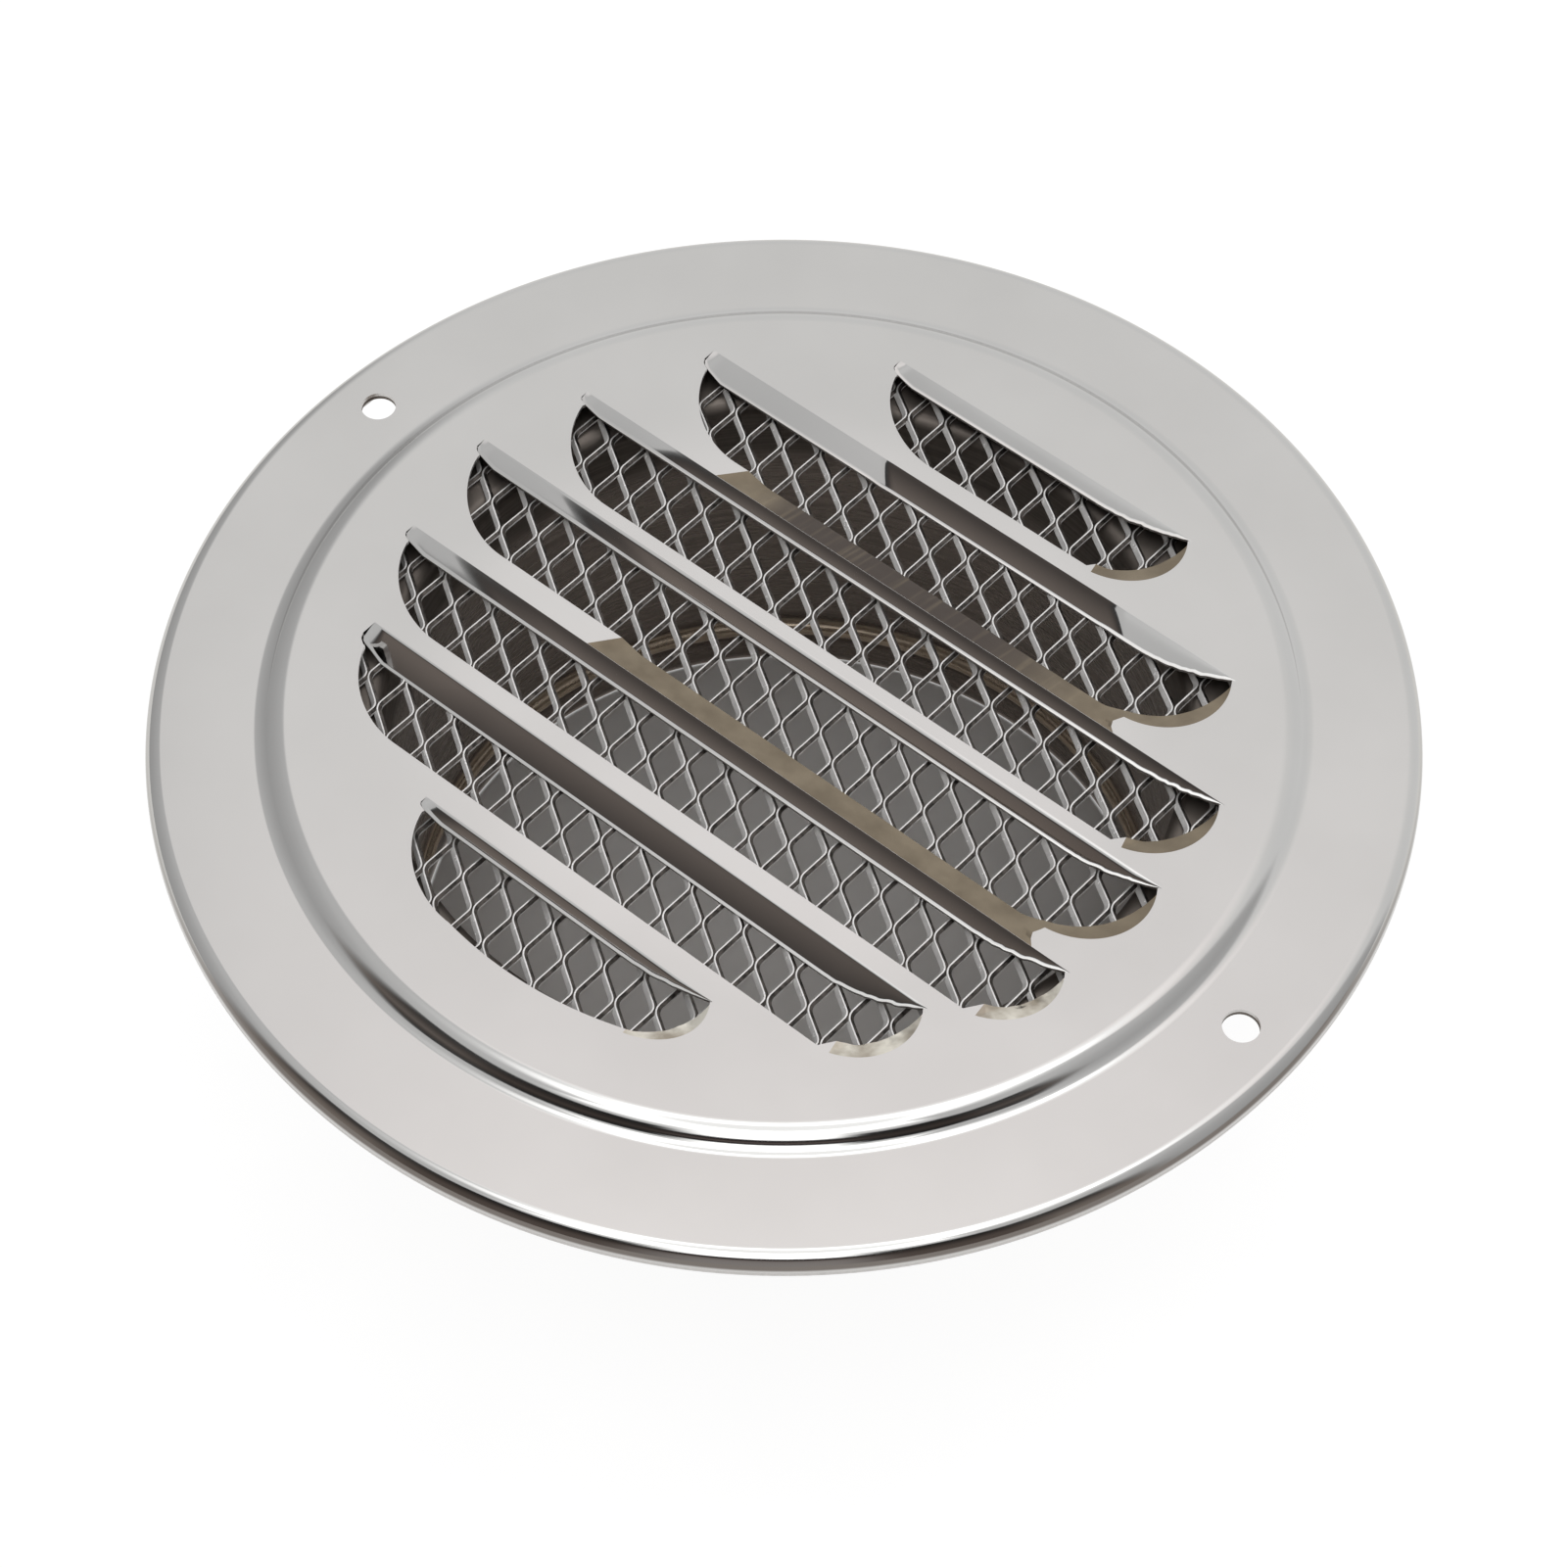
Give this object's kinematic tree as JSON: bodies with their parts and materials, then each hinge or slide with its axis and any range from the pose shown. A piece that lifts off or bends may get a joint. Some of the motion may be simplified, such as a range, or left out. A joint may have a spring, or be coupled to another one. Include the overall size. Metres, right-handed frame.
{
  "type": "round vent cover",
  "caption": "Round louvred vent cover of pressed stainless sheet with a raised panel, rolled rim, expanded metal insect screen behind the louvres and a spigot that slips into a round duct.",
  "frame": {"origin": "centre of the spigot's free end, at the bottom of the part", "axes": "+Z along the spigot towards the louvred face, +X through the two screw holes, along the louvres"},
  "size_m": [0.15, 0.15, 0.0551],
  "materials": {
    "polished_steel": "polished stainless sheet, nearly mirror, with faint handling marks",
    "screen_steel": "bright expanded stainless mesh",
    "spigot_steel": "bright rolled stainless sheet"
  },
  "bodies": {
    "root": {"face_plate": "polished_steel", "insect_screen": "screen_steel", "spigot": "spigot_steel"}
  },
  "joints": []
}
